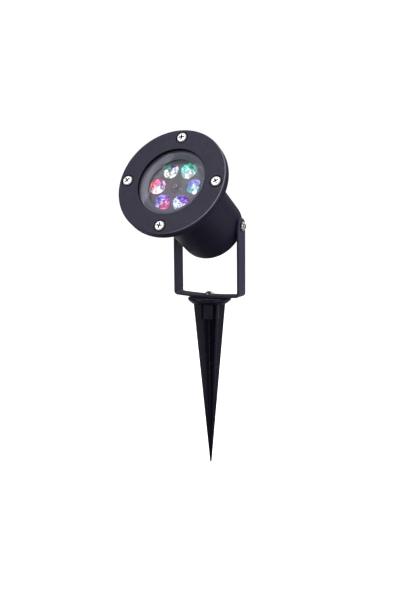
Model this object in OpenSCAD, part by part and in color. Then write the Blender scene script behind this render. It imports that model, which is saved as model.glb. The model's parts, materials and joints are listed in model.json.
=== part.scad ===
// Garden projector lamp on a ground spike.
// A round lamp head tilts in a U bracket, and the bracket swivels on the spike.
// Frame: millimetres, +Z up, the bracket's arms stand at +X and -X, the lamp
// faces -Y. The origin is on the spike's axis, in the plane where the spike's
// flange stops on the ground.

/* [Head] */
// Outside diameter of the bezel and of the housing flange
bezel_d = 110; // [106:1:114]
// Thickness of the bezel
bezel_t = 4.1; // [3.9:0.1:5]
// Diameter of the opening in the bezel
opening_d = 68.4; // [62:0.2:69]
// Distance from the tilt axis to the bezel's front face
head_len = 94.4; // [92:0.2:99]
// Outside diameter of the housing at its rear rim
body_rear_d = 67.2; // [66.8:0.1:67.6]
// Outside diameter of the housing under its flange
body_front_d = 70; // [69:0.1:71]
// Height of the lamp's aim above the horizon, in degrees
head_tilt = 30.3; // [-40:0.1:90]

/* [Optics] */
// Number of crystal lenses in the wheel, and of light sources behind it
lens_n = 6; // [5:1:6]
// Diameter of one crystal lens
lens_d = 16.4; // [13:0.2:16.6]
// Distance from the wheel's axis to a lens centre
lens_ring_r = 19.4; // [19.2:0.1:19.6]
// Thickness of the front glass
glass_t = 2; // [1.6:0.02:2]

/* [Bracket] */
// Outside width of the bracket across its arms
bracket_w = 73.2; // [72.6:0.1:74]
// Width of the steel strip
strip_w = 16.6; // [14:0.2:20]
// Thickness of the steel strip
strip_t = 2.4; // [1.8:0.1:2.4]
// Height of the tilt axis above the top of the spike's flange
pivot_h = 73; // [71:1:95]
// How much the base's ends stand above its middle
base_bow = 1.4; // [1:0.1:3]

/* [Spike] */
// Diameter of the spike's flange
flange_d = 44.2; // [42:0.2:48]
// Height of the flange, from the ground stop to its top
flange_h = 6; // [5:0.5:9]
// Length of the spike from the flange's top to the tip
spike_len = 174.7; // [140:0.1:200]
// Reach of the fins at the flange, measured from the axis
fin_r = 18.7; // [17:0.1:19]
// Thickness of one fin
fin_t = 2.4; // [2:0.1:4]
// Direction of the first fin, counted from +X, in degrees
fin_angle = 53; // [0:1:89]
// Diameter of the socket barrel between the fins
barrel_d = 19.6; // [18:0.2:24]
// Length of the socket barrel below the flange's top
barrel_len = 22; // [18:0.5:28]

/* [Fits] */
// Radial running clearance of the screws in the bracket and of the motor shaft
run_gap = 0.06; // [0.03:0.01:0.09]
// Gap between the bracket's faces and the washers that turn against them
face_gap = 0.04; // [0.02:0.01:0.06]

/* [Hidden] */
$fn = 64;

// Metric screw shank radii
m5_r = 2.5;
m3_r = 1.5;
m25_r = 1.25;
m2_r = 1;
// Radial gap round a shank in its tapped hole
tap_gap = 0.02;
// Radial gap round an M5 shank in a plain hole
m5_gap = 0.3;
// Overshoot of a cutter past the face it opens
over = 1;

// Heights in the part's frame
top_z = flange_h;
base_z = top_z + 0.03;
pivot_z = top_z + pivot_h;
washer_z = base_z + strip_t + 0.1;

// Heights in the head's own frame: z along the lamp's aim, 0 on the tilt axis
z_front = head_len;
z_bezel = z_front - bezel_t;
flange_gasket_t = 0.4;
z_flange = z_bezel - flange_gasket_t;
body_flange_t = 4.6;
z_under = z_flange - body_flange_t;
z_lip = z_front - 1.8;
z_screw_seat = z_front - 1.7;
z_ledge = z_flange - 0.6;
z_rim = -6.1;
edge_r = 3.5;
z_back = z_rim - edge_r;
floor_t = 3.4;
z_floor = z_back + floor_t;
z_sink = z_front - 40.5;
sink_t = 3.6;
z_sink_top = z_sink + sink_t;
board_t = 1.6;
z_led = z_sink_top + board_t;
z_motor_back = z_sink - 26;
z_driver = 9;
z_driver_top = z_driver + board_t;
z_wheel = z_front - 14.2;
wheel_t = 2;
z_hub_base = z_wheel - 6;
z_hub = z_wheel + 2.8;
z_shaft = z_wheel + 1.8;

// Radii in the head
bore_front = 32;
seat_r = 38.6;
sink_post_r = 3.4;
sink_screw_ring_r = 27.2;
lead_hole_y = 25.6;

// Points of an arc about [x, y], in equal steps between two angles
function arc(x, y, radius, from, to, steps = 6) = [
    for (i = [0:steps])
        let (angle = from + (to - from) * i / steps)
        [x + radius * cos(angle), y + radius * sin(angle)]
];

module at_z(z) translate([0, 0, z]) children();
module disc(r, z0, z1) at_z(z0) cylinder(r = r, h = z1 - z0);
module ring(outer, inner, z0, z1) at_z(z0) difference() {
    cylinder(r = outer, h = z1 - z0);
    at_z(-1) cylinder(r = inner, h = z1 - z0 + 2);
}
module around(n, r, start = 0)
    for (i = [0:n - 1])
        rotate([0, 0, start + 360 / n * i]) translate([r, 0, 0]) children();

// Places in the head
module head_frame() at_z(pivot_z) rotate([90 - head_tilt, 0, 0]) children();
module gland_frame() head_frame() at_z(z_back) children();
// Both ends of the tilt axis, with z pointing outward along it
module pivot_side() for (turn = [0, 180]) rotate([0, 0, turn]) rotate([0, 90, 0]) children();
// Lens and light-source places, the first on +X
module lens_places() around(lens_n, lens_ring_r) children();
module bezel_screw_places() around(4, 46.6) children();
module sink_screw_places() around(3, sink_screw_ring_r, 30) children();
module board_screw_places() around(3, 10.5, 30) children();
module motor_screw_places() around(2, 8.3) children();
module driver_screw_places() around(3, 19, 90) children();

// ---- Screws and washers ----
// Shank from 0 down, with a tapered tip
module shank(r, len) {
    tip_h = r * 0.3;
    at_z(-len) cylinder(r1 = r * 0.82, r2 = r, h = tip_h);
    at_z(-len + tip_h) cylinder(r = r, h = len - tip_h);
}
// Pan head, cross recess, underside at 0, shank down
module pan_screw(shank_r, len, head_r, head_h) {
    edge = head_h * 0.55;
    slot_w = head_r * 0.18;
    slot_top = head_r * 0.52;
    slot_bottom = head_r * 0.16;
    difference() {
        union() {
            rotate_extrude() polygon(concat(
                [[0, 0], [head_r - 0.2, 0]],
                arc(head_r - edge, head_h * 0.45, edge, 0, 80, 5),
                [[0, head_h * 1.02]]));
            shank(shank_r, len);
        }
        for (a = [0, 90]) rotate([0, 0, a]) rotate([90, 0, 0]) at_z(-slot_w / 2)
            linear_extrude(height = slot_w) polygon([
                [-slot_top, head_h * 1.1], [slot_top, head_h * 1.1],
                [slot_bottom, head_h * 0.35], [-slot_bottom, head_h * 0.35]]);
    }
}
// Button head, hex socket, underside at 0, shank down
module button_screw(shank_r, len) difference() {
    union() {
        rotate_extrude() polygon(concat(
            [[0, 0], [shank_r * 1.86, 0]],
            arc(0, -shank_r * 1.1, shank_r * 2.2, 34, 80, 6),
            [[0, shank_r * 1.08]]));
        shank(shank_r, len);
    }
    at_z(shank_r * 0.42) cylinder(r = shank_r * 0.7, h = shank_r * 2, $fn = 6);
}
module spring_washer(inner, outer, t) {
    split_w = 0.7;
    difference() {
        ring(outer, inner, 0, t);
        translate([0, -split_w / 2, -1]) rotate([0, 0, 12]) cube([outer + 2, split_w, t + 2]);
    }
}

// ---- Spike ----
insert_r = 4;
insert_h = 12;
insert_z = top_z - 13.6;
groove_r = 3.4;
base_washer_t = 1;

// Flange, hollow underneath
module spike_flange() {
    rim_r = flange_d / 2;
    edge = 1.3;
    hollow_r = 15.2;
    plate_t = 2.4;
    rotate_extrude() polygon(concat(
        [[0, top_z], [rim_r - edge, top_z]],
        arc(rim_r - edge, top_z - edge, edge, 60, 0, 3),
        [[rim_r, top_z * 0.62], [rim_r - 0.5, top_z * 0.42], [rim_r - 1.5, top_z * 0.24],
        [rim_r - 2.7, top_z * 0.09], [rim_r - 3.7, 0],
        [hollow_r, 0], [hollow_r, top_z - plate_t], [0, top_z - plate_t]]));
}
module spike_barrel() {
    r = barrel_d / 2;
    bottom = top_z - barrel_len;
    edge = 1.2;
    rotate_extrude() polygon(concat(
        [[0, top_z - 1], [r, top_z - 1]],
        arc(r - edge, bottom + edge, edge, 0, -80, 4),
        [[0, bottom]]));
}
// Two crossed plates, trimmed to a cone
module spike_fins() {
    plate_w = 60;
    tip_z = top_z - spike_len;
    intersection() {
        for (a = [0, 90]) rotate([0, 0, fin_angle + a])
            translate([-fin_t / 2, -plate_w / 2, tip_z]) cube([fin_t, plate_w, spike_len - 1]);
        at_z(tip_z) cylinder(r1 = 0.8, r2 = fin_r, h = spike_len - 0.2);
    }
}
module ground_spike() color([0.06, 0.06, 0.07]) difference() {
    union() {
        spike_flange();
        spike_barrel();
        spike_fins();
    }
    at_z(top_z - 14) cylinder(r = m5_r + m5_gap, h = 20);
    at_z(insert_z) cylinder(r = insert_r, h = insert_h);
}
module threaded_insert() color([0.8, 0.65, 0.3]) at_z(insert_z) difference() {
    // Outline with two grooves
    rotate_extrude() polygon([
        [0, 0], [insert_r, 0],
        [insert_r, 3], [groove_r, 3.4], [groove_r, 5], [insert_r, 5.4],
        [insert_r, 8.6], [groove_r, 9], [groove_r, 10.4], [insert_r, 10.8],
        [insert_r, insert_h], [0, insert_h]]);
    at_z(-over) cylinder(r = m5_r + tap_gap, h = insert_h + 2 * over);
}
module base_flat_washer() color([0.75, 0.75, 0.76])
    ring(5.2, m5_r + 0.1, washer_z, washer_z + base_washer_t);
module base_screw() color([0.8, 0.8, 0.8])
    at_z(washer_z + base_washer_t) button_screw(m5_r, 14);

// ---- Bracket ----
arm_in = bracket_w / 2 - strip_t;
// Outer radius of a bend, and its centre at +X
bend_r = 1.5 + strip_t;
bend_x = bracket_w / 2 - bend_r;
// Outer radius of the bowed base, and the height of its centre
base_r = (bend_x * bend_x + base_bow * base_bow) / (2 * base_bow);
bow_z = base_z + base_r;
bend_z = bow_z - sqrt((base_r - bend_r) * (base_r - bend_r) - bend_x * bend_x);
// Angle from straight down to where the base meets a bend
bend_a = atan2(bend_x, bow_z - bend_z);

// Section of a strip bent to an outer radius
module bent_strip(r) difference() {
    circle(r = r);
    circle(r = r - strip_t);
}
// The strip's side view: two arms, two bends and a shallow bowed base
module strip_profile() {
    fan_r = base_r + 9;
    fan_x = fan_r * sin(bend_a);
    fan_z = bow_z - fan_r * cos(bend_a);
    wedge_r = 4 * bend_r;
    intersection() {
        translate([0, bow_z]) bent_strip(base_r, $fn = 180);
        polygon([[0, bow_z], [-fan_x, fan_z], [fan_x, fan_z]]);
    }
    for (side = [-1, 1]) scale([side, 1]) {
        translate([bend_x, bend_z]) intersection() {
            bent_strip(bend_r);
            polygon([[0, 0], [wedge_r * sin(bend_a), -wedge_r * cos(bend_a)],
                [wedge_r, -wedge_r], [wedge_r, 0]]);
        }
        translate([arm_in, bend_z]) square([strip_t, pivot_z + strip_w - bend_z]);
    }
}
module bracket() color([0.13, 0.13, 0.15]) {
    span = 120;
    half_w = strip_w / 2;
    difference() {
        intersection() {
            translate([0, half_w, 0]) rotate([90, 0, 0])
                linear_extrude(height = strip_w) strip_profile();
            // Envelope that rounds the arms' ends about the tilt axis
            union() {
                translate([-span / 2, -half_w - 1, base_z - 5])
                    cube([span, strip_w + 2, pivot_z - base_z + 5 - half_w - 0.5]);
                translate([-span / 2, -half_w, pivot_z - half_w - 1])
                    cube([span, strip_w, half_w + 1]);
                translate([-span / 2, 0, pivot_z]) rotate([0, 90, 0])
                    cylinder(r = half_w, h = span);
            }
        }
        translate([-span / 2, 0, pivot_z]) rotate([0, 90, 0])
            cylinder(r = m5_r + run_gap, h = span);
        at_z(base_z - 5) cylinder(r = m5_r + run_gap, h = 20);
    }
}

// ---- Housing and front ----
// Distance from the head's axis to the flats under the tilt washers
spot_x = 33.2;
glass_gap = 0.02;
// Thickness of each lip of the lens gasket
gasket_lip = (z_lip - z_flange - glass_t) / 2 - glass_gap;

// Hollow body with its flange at the front
module housing_shell() {
    rear_r = body_rear_d / 2;
    front_r = body_front_d / 2;
    rim_r = bezel_d / 2;
    fillet = 3;
    flange_edge = 0.6;
    difference() {
        rotate_extrude($fn = 128) polygon(concat(
            [[0, z_back]],
            arc(rear_r - edge_r, z_rim, edge_r, -88, 0, 6),
            [[front_r, z_under - fillet]],
            arc(front_r + fillet, z_under - fillet, fillet, 180, 96, 5),
            [[rim_r - flange_edge, z_under]],
            arc(rim_r - flange_edge, z_under + flange_edge, flange_edge, -60, 0, 2),
            [[rim_r, z_flange], [0, z_flange]]));
        disc(30.4, z_floor, z_sink);
        disc(bore_front, z_sink - 0.01, z_ledge + 1);
        disc(35.1, z_ledge, z_flange + over);
    }
}
module housing() color([0.12, 0.12, 0.14]) head_frame() {
    // Radius inside the wall where posts and bosses end
    root_r = 32;
    sink_post_h = 14;
    web_t = 4;
    difference() {
        union() {
            housing_shell();
            // Posts for the heat sink, joined to the wall
            intersection() {
                sink_screw_places() at_z(z_sink - sink_post_h) {
                    cylinder(r = sink_post_r, h = sink_post_h);
                    translate([0, -web_t / 2, 0]) cube([6, web_t, sink_post_h]);
                }
                disc(root_r, z_floor, z_sink);
            }
            // Posts for the driver board
            driver_screw_places() disc(3.2, z_floor - 1, z_driver);
            // Bosses behind the tilt screws
            intersection() {
                pivot_side() disc(7.5, 24, 36);
                disc(root_r, -20, 20);
            }
        }
        // Spot faces and tapped holes for the tilt screws
        pivot_side() disc(8.6, spot_x, spot_x + 5);
        pivot_side() disc(m5_r + tap_gap, 20, 40);
        bezel_screw_places() disc(m5_r + tap_gap, z_under - over, z_flange + over);
        sink_screw_places() disc(m3_r + tap_gap, z_sink - 9, z_sink + 3);
        driver_screw_places() disc(m3_r + tap_gap, z_driver - 7, z_driver + 5);
        // Hole for the cable gland
        disc(6.3, z_back - over, z_floor + over);
    }
}
module front_bezel() color([0.2, 0.2, 0.22]) head_frame() {
    opening_r = opening_d / 2;
    chamfer = 0.6;
    edge = 1;
    difference() {
        rotate_extrude($fn = 128) polygon(concat(
            [[opening_r, z_lip], [opening_r, z_front - chamfer], [opening_r + chamfer, z_front]],
            arc(bezel_d / 2 - edge, z_front - edge, edge, 90, 0, 4),
            [[bezel_d / 2, z_bezel], [seat_r, z_bezel], [seat_r, z_lip]]));
        bezel_screw_places() {
            disc(m5_r + m5_gap, z_bezel - over, z_front + over);
            disc(6.1, z_screw_seat, z_screw_seat + 3);
        }
    }
}
module bezel_screws() color([0.82, 0.82, 0.83]) head_frame() bezel_screw_places()
    at_z(z_screw_seat) rotate([0, 0, 20]) pan_screw(m5_r, len = 6, head_r = 5.1, head_h = 2.7);
module flange_gasket() color([0.05, 0.05, 0.05]) head_frame() difference() {
    ring(bezel_d / 2 - 0.8, seat_r + 0.4, z_flange, z_bezel);
    bezel_screw_places() disc(m5_r + m5_gap, z_flange - over, z_flange + 2);
}
// C section, open inward, that holds the glass's edge
module lens_gasket() color([0.08, 0.08, 0.08]) head_frame() {
    inner = 35.2;
    groove = 37.4;
    outer = seat_r - 0.2;
    rotate_extrude($fn = 96) polygon([
        [inner, z_flange], [outer, z_flange], [outer, z_lip], [inner, z_lip],
        [inner, z_lip - gasket_lip], [groove, z_lip - gasket_lip],
        [groove, z_flange + gasket_lip], [inner, z_flange + gasket_lip]]);
}
module glass_lens() color([0.8, 0.9, 0.95, 0.35]) head_frame()
    at_z(z_flange + gasket_lip + glass_gap) cylinder(r = 37.35, h = glass_t);
// Outline: radius, height above the housing's ledge
module trim_ring() color([0.32, 0.32, 0.35]) head_frame() at_z(z_ledge)
    rotate_extrude($fn = 96) polygon([
        [27, -2.6], [27, -1.8], [30.5, 0.9], [35, 0.9], [35, 0],
        [31.9, 0], [31.9, -1], [29.4, -1.6], [28.4, -2.6]]);

// ---- Tilt joint hardware ----
spring_t = 1.2;
spring_x = bracket_w / 2 + face_gap;
module pivot_rubber_washers() color([0.04, 0.04, 0.04]) head_frame() pivot_side()
    ring(6.4, m5_r + 0.1, spot_x, arm_in - face_gap);
module pivot_spring_washers() color([0.7, 0.7, 0.71]) head_frame() pivot_side()
    at_z(spring_x) rotate([0, 0, 200]) spring_washer(m5_r + 0.06, 4.5, spring_t);
module pivot_screws() color([0.8, 0.8, 0.8]) head_frame() pivot_side()
    at_z(spring_x + spring_t) button_screw(m5_r, 12);

// ---- Light engine ----
shaft_r = 2;
motor_screw_seat = z_sink_top - 2;

module heat_sink() color([0.75, 0.76, 0.78]) head_frame() {
    fin_w = 1.4;
    bottom = z_sink - over;
    top = z_sink_top + over;
    difference() {
        union() {
            disc(bore_front - 0.1, z_sink, z_sink_top);
            around(18, 14.6, 10) translate([0, -fin_w / 2, z_sink - 9]) cube([8.2, fin_w, 10]);
        }
        disc(5, bottom, top);
        sink_screw_places() disc(m3_r + 0.2, bottom, top);
        board_screw_places() disc(m25_r + tap_gap, z_sink + 0.8, z_sink_top + 0.8);
        motor_screw_places() {
            disc(m25_r + 0.15, bottom, top);
            disc(2.4, motor_screw_seat, top);
        }
        // Hole for the leads to the LED board
        translate([0, lead_hole_y, 0]) disc(2.2, bottom, top);
    }
}
module heat_sink_screws() color([0.7, 0.7, 0.72]) head_frame() sink_screw_places()
    at_z(z_sink_top) pan_screw(m3_r, len = 11, head_r = 2.6, head_h = 1.9);
// Stepped body with a boss at each end
module gear_motor() color([0.78, 0.78, 0.74]) head_frame() difference() {
    union() {
        disc(12.2, z_sink - 12, z_sink);
        disc(11.4, z_motor_back, z_sink - 12);
        disc(4.9, z_sink - 1, z_sink + 3.4);
        disc(3, z_motor_back - 1.2, z_motor_back + 1);
    }
    disc(shaft_r + run_gap, z_sink - 7, z_sink + 7);
    motor_screw_places() disc(m25_r + tap_gap, z_sink - 5, z_sink + 2);
}
module motor_screws() color([0.7, 0.7, 0.72]) head_frame() motor_screw_places()
    at_z(motor_screw_seat) pan_screw(m25_r, len = 5.6, head_r = 2.2, head_h = 1.7);
module led_board() color([0.9, 0.9, 0.88]) head_frame() difference() {
    disc(24.2, z_sink_top, z_led);
    disc(5.4, z_sink, z_sink + 20);
    board_screw_places() disc(m25_r + 0.15, z_sink, z_sink + 20);
}
module led_board_screws() color([0.7, 0.7, 0.72]) head_frame() board_screw_places()
    at_z(z_led) pan_screw(m25_r, len = 4.2, head_r = 2.2, head_h = 1.5);
module leds() color([0.95, 0.9, 0.5]) head_frame() lens_places() at_z(z_led) {
    led_w = 5;
    translate([-led_w / 2, -led_w / 2, 0]) cube([led_w, led_w, 0.9]);
    disc(1.8, 0.8, 1.4);
}
// Outline: radius, height above the LED board
module led_collimators() color([0.9, 0.95, 1, 0.4]) head_frame() lens_places() at_z(z_led)
    rotate_extrude($fn = 48) polygon([
        [3.7, 0], [4.6, 0], [4.6, 2], [7, 10], [7.3, 10], [7.3, 11], [0, 11],
        [0, 3], [2.2, 3], [2.2, 1.8], [3.7, 1.6]]);

// ---- Driver and wiring ----
module driver_board() color([0.1, 0.35, 0.18]) head_frame() difference() {
    disc(27.5, z_driver, z_driver_top);
    sink_screw_places() disc(sink_post_r + 0.5, z_driver - over, z_driver + 3);
    driver_screw_places() disc(m3_r + 0.1, z_driver - over, z_driver + 3);
}
module driver_board_screws() color([0.7, 0.7, 0.72]) head_frame() driver_screw_places()
    at_z(z_driver_top) pan_screw(m3_r, len = 8, head_r = 2.6, head_h = 1.9);
// A recessed cylinder, two tall cylinders and two blocks
module driver_components() color([0.15, 0.15, 0.17]) head_frame() at_z(z_driver_top) {
    translate([-12, 6, 0]) difference() {
        cylinder(r = 5.5, h = 8);
        disc(2, 6.5, 9.5);
    }
    for (place = [[-4, -14, 0], [6, -15, 0]]) translate(place) cylinder(r = 4, h = 11);
    translate([10, 4, 0]) cube([9, 8, 3.4]);
    translate([-3, 7.5, 0]) cube([6.4, 5, 1.6]);
}
// Lead along a list of points
module lead(points) {
    lead_r = 0.7;
    for (i = [0:len(points) - 2]) {
        run = points[i + 1] - points[i];
        translate(points[i]) rotate([0, acos(run[2] / norm(run)), atan2(run[1], run[0])])
            cylinder(r = lead_r, h = norm(run), $fn = 16);
        if (i > 0) translate(points[i]) sphere(r = lead_r, $fn = 16);
    }
}
module led_leads() color([0.75, 0.1, 0.1]) head_frame() {
    end_y = 23.2;
    z_bend = z_led + 2;
    for (x = [-1, 1]) lead([[x, lead_hole_y, z_driver_top], [x, lead_hole_y, z_bend],
        [x, end_y, z_bend], [x, end_y, z_led]]);
}
module motor_leads() color([0.85, 0.75, 0.2]) head_frame()
    for (y = [-1.5, 1.5]) lead([[7, y, z_driver_top], [7, y, z_motor_back]]);
module supply_leads() color([0.15, 0.25, 0.6]) head_frame()
    for (x = [-1.1, 1.1]) lead([[x, 0, 0], [x, 0, z_driver]]);

// ---- Cable entry: heights from the housing's back face ----
gland_hex_r = 9.6;
cable_r = 2.6;
cable_bore_r = 2.62;
gland_bore_r = 3;
seal_top = -4.8;

module gland_body() color([0.1, 0.1, 0.1]) gland_frame() difference() {
    union() {
        disc(6.2, -1, 8);
        disc(gland_hex_r, -4.5, 0, $fn = 6);
        disc(7.2, -11.5, -4);
    }
    disc(gland_bore_r, -5, 15);
    disc(5.3, -12, seal_top);
}
module gland_seal() color([0.25, 0.25, 0.25]) gland_frame()
    ring(5.25, cable_bore_r, -12.8, seal_top);
module gland_nut() color([0.1, 0.1, 0.1]) gland_frame() difference() {
    union() {
        disc(gland_hex_r, -12.5, -4.6, $fn = 6);
        rotate_extrude() polygon(concat(
            [[0, -12], [8.2, -12]], arc(3.2, -13, 5, 0, -80, 5), [[0, -18]]));
    }
    disc(7.26, -11.6, 0);
    disc(5.4, -13, -11);
    disc(gland_bore_r, -20, -12);
}
module gland_locknut() color([0.1, 0.1, 0.1]) gland_frame() difference() {
    disc(gland_hex_r, floor_t, floor_t + 3.2, $fn = 6);
    disc(6.22, floor_t - over, floor_t + 5);
}
module power_cable() color([0.05, 0.05, 0.05]) gland_frame() disc(cable_r, -28, 9.6);
module cable_connector() color([0.07, 0.07, 0.07]) gland_frame() difference() {
    // Outline: radius, height
    rotate_extrude() polygon([
        [0, -36], [4.4, -36], [4.6, -35.6], [4.6, -31],
        [4, -30.6], [4, -27], [3.4, -24.4], [0, -24.4]]);
    disc(cable_bore_r, -28.1, -20);
    // Ring-shaped socket in the rear end
    ring(2.9, 0.9, -40, -31);
}

// ---- Turning wheel ----
// D section of the shaft's end, with its flat toward +X
module d_section(r) intersection() {
    circle(r = r);
    translate([-5, -5]) square([5 + r * 0.72, 10]);
}
module motor_shaft() color([0.8, 0.8, 0.8]) head_frame() difference() {
    union() {
        disc(shaft_r, z_sink - 6, z_hub_base);
        at_z(z_hub_base) linear_extrude(height = z_shaft - z_hub_base) d_section(shaft_r);
    }
    disc(m2_r + tap_gap, z_shaft - 6, z_shaft + over);
}
module lens_wheel() color([0.16, 0.16, 0.18]) head_frame() {
    hole_r = lens_d / 2 + 0.05;
    difference() {
        union() {
            disc(28.9, z_wheel, z_wheel + wheel_t);
            disc(4.2, z_hub_base, z_hub);
            lens_places() ring(lens_d / 2 + 0.9, hole_r, z_wheel, z_wheel + wheel_t + 0.3);
        }
        lens_places() disc(hole_r, z_wheel - over, z_wheel + 5);
        at_z(z_hub_base - over)
            linear_extrude(height = z_shaft + 0.02 - z_hub_base + over)
                d_section(shaft_r + tap_gap);
        disc(m2_r + 0.15, z_wheel, z_hub + over);
    }
}
// Round foot under two stacked nine-sided tapers
module crystal_lenses() color([0.7, 0.85, 1, 0.5]) head_frame() lens_places() at_z(z_wheel) {
    lens_r = lens_d / 2;
    foot_h = wheel_t + 1;
    taper_h = 2.8;
    cylinder(r = lens_r, h = foot_h);
    at_z(foot_h) cylinder(r1 = lens_r - 0.1, r2 = lens_r - 1.8, h = taper_h, $fn = 9);
    at_z(foot_h + taper_h) rotate([0, 0, 20])
        cylinder(r1 = lens_r - 2.3, r2 = lens_r - 5, h = 2.2, $fn = 9);
}
module wheel_screw() color([0.6, 0.45, 0.45]) head_frame()
    at_z(z_hub) pan_screw(m2_r, len = 6, head_r = 2.3, head_h = 1.4);

ground_spike();
threaded_insert();
base_screw();
base_flat_washer();
bracket();
housing();
front_bezel();
bezel_screws();
glass_lens();
lens_gasket();
flange_gasket();
trim_ring();
pivot_screws();
pivot_spring_washers();
pivot_rubber_washers();
heat_sink();
heat_sink_screws();
gear_motor();
motor_screws();
led_board();
leds();
led_collimators();
led_board_screws();
driver_board();
driver_components();
driver_board_screws();
led_leads();
motor_leads();
supply_leads();
gland_body();
gland_seal();
gland_nut();
gland_locknut();
power_cable();
cable_connector();
lens_wheel();
crystal_lenses();
wheel_screw();
motor_shaft();
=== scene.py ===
"""Garden projector lamp on a ground spike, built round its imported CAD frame.

Lengths are in mm and turn to metres as each mesh is made. The spike runs down the Z axis, the
bracket above it is a U with its arms at +X and -X, and the head tilts about X between them.
The head has its own frame: the origin lies on the tilt axis, X runs along that axis, and +Z
points out through the front glass.
"""
import json
import math
import random

import bmesh
import bpy
from mathutils import Matrix, Vector


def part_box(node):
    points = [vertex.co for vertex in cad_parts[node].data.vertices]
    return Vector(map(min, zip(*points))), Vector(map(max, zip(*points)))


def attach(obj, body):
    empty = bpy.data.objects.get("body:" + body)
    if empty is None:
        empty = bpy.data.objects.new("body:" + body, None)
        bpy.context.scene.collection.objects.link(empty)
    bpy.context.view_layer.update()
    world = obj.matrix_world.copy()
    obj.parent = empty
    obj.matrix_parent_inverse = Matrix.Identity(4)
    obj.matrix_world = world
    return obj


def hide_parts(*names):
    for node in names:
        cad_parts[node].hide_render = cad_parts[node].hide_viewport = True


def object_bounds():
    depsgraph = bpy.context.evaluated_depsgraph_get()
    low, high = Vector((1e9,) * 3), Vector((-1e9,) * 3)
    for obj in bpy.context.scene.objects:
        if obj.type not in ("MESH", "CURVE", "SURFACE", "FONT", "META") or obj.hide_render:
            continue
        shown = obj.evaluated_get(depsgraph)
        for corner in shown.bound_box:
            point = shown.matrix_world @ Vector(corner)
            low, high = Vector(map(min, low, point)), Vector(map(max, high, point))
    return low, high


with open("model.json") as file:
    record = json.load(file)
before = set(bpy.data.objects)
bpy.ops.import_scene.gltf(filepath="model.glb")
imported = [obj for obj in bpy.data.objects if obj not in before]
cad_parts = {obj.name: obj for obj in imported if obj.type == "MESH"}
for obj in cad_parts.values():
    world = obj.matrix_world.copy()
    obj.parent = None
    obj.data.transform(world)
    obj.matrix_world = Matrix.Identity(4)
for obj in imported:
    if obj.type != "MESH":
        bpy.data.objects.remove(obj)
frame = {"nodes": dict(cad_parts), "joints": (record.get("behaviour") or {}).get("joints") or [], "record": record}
cad_low, cad_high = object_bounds()
nodes = frame["nodes"]
joints = {joint["name"]: joint for joint in frame["joints"]}
MM = 0.001
WORLD = Matrix.Identity(4)


# ---------------------------------------------------------------- frames and places
def axes(x_axis, y_axis, z_axis, origin):
    """The matrix of a frame, from its axes and its origin."""
    return Matrix([*zip(x_axis, y_axis, z_axis, origin), (0, 0, 0, 1)])


def turn_z(degrees):
    return Matrix.Rotation(math.radians(degrees), 4, "Z")


def lift(z):
    return Matrix.Translation((0, 0, z))


def ring_places(count, radius, start=0.0):
    """Places evenly round a circle about Z, the first at start degrees."""
    out = Matrix.Translation((radius, 0, 0))
    return [turn_z(start + 360 * i / count) @ out for i in range(count)]


pivot = Vector(joints["head_tilt"]["pos_m"])
aim = Vector(joints["wheel_spin"]["axis"]).normalized()
tilt_axis = Vector((1, 0, 0))
HEAD = axes(tilt_axis, aim.cross(tilt_axis).normalized(), aim, pivot)

# Frames on the tilt axis whose +Z points outwards, towards +X and towards -X
to_plus_x = Matrix.Rotation(math.radians(90), 4, "Y")
SIDES = [to_plus_x, turn_z(180) @ to_plus_x]


def head_span(node):
    """Lowest and highest corner of a CAD node in the head's frame, in mm."""
    to_head = HEAD.inverted()
    points = [to_head @ vertex.co for vertex in nodes[node].data.vertices]
    return [
        Vector([pick(point[i] for point in points) for i in range(3)]) / MM
        for pick in (min, max)
    ]


# ---------------------------------------------------------------- shared sizes
# Head: heights along its Z
bezel_corner = head_span("front_bezel")[1]
bezel_r, front_z = bezel_corner.x, bezel_corner.z
bezel_back = front_z - 4.1
flange_front = front_z - 4.5
flange_back = front_z - 9.1
ledge_z = front_z - 5.1     # ledge inside the housing, behind the glass
shelf_z = front_z - 40.5    # front of the three inner posts
wheel_back = head_span("lens_wheel")[1].z - 2.8     # back face of the wheel's disc
BACK_Z = -9.6               # outside of the housing's back wall
FLOOR_Z = -6.2              # inside of that wall

# Head: radii and screw holes
OPENING_R = 34.2
CLEARANCE_R, PILOT_R = 2.52, 1.52
BEZEL_SCREWS = ring_places(4, 46.6)
COUNTERBORE_Z = front_z - 1.7
PIVOT_FACE = 33.2           # flat on each side of the housing, out from the middle

# Lens wheel
LENS_CIRCLE, LENS_R = 19.4, 8.2
LENS_PLACES = ring_places(6, LENS_CIRCLE)

# Bracket and spike
pivot_z = pivot.z / MM
bracket_box, spike_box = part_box("bracket"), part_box("ground_spike")
arm_x = bracket_box[1][0] / MM          # outer face of the +X arm
strip_half = bracket_box[1][1] / MM     # half the strip's width
base_z = bracket_box[0][2] / MM
spike_r = spike_box[1][0] / MM
spike_top = spike_box[1][2] / MM
tip_z = spike_box[0][2] / MM
STRIP = 2.4                             # thickness of the strip
GAP = 0.04                              # play between the arms and the washers


# ---------------------------------------------------------------- shader helpers
def rgba(color, level=1.0):
    return (*(min(1.0, channel * level) for channel in color), 1.0)


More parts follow.
